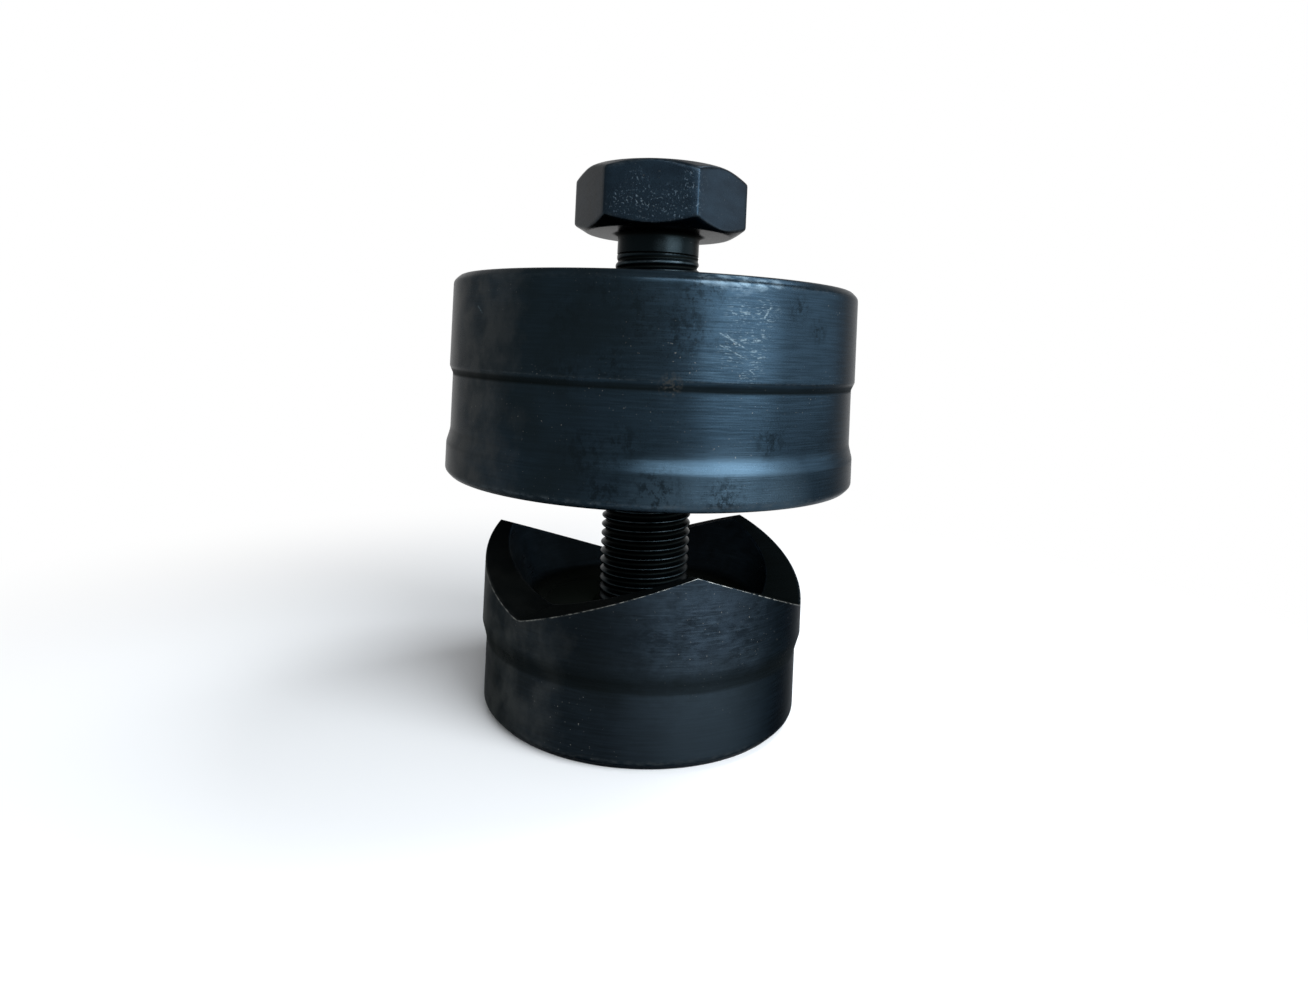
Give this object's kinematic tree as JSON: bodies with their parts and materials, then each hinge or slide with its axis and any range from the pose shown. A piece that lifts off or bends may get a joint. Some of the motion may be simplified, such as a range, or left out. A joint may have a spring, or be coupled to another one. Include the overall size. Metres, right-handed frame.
{
  "type": "hole cutter",
  "caption": "Screw-drawn sheet-metal hole cutter: a draw bolt through a ring-shaped die pulls a cup punch with a pointed cutting rim.",
  "frame": {"origin": "centre of the punch's flat base, on the bolt axis", "axes": "+Z along the bolt axis, from the punch's base to the hexagon head; -Y is the front, the side that the picture shows"},
  "size_m": [0.0444, 0.0444, 0.0586],
  "materials": {
    "die_steel": "satin blue-black oxide over fine turning lines",
    "punch_steel": "satin black oxide, bare steel along the cutting edge",
    "bolt_steel": "satin black oxide, oiled thread"
  },
  "bodies": {
    "punch": {"punch": "punch_steel"},
    "die": {"die": "die_steel"},
    "draw_bolt": {"draw_bolt": "bolt_steel"}
  },
  "joints": [
    {"name": "die_travel", "type": "slide", "parent": "punch", "child": "die", "axis": [0, 0, 1], "range_m": [-0.021, 0.008]},
    {"name": "bolt_turn", "type": "hinge", "parent": "die", "child": "draw_bolt", "pos_m": [0, 0, 0.055], "axis": [0, 0, 1], "range_deg": [-7560, 2880]}
  ],
  "couplings": [
    {"joint": "bolt_turn", "follows": "die_travel", "rad_per_m": 6283.2}
  ]
}
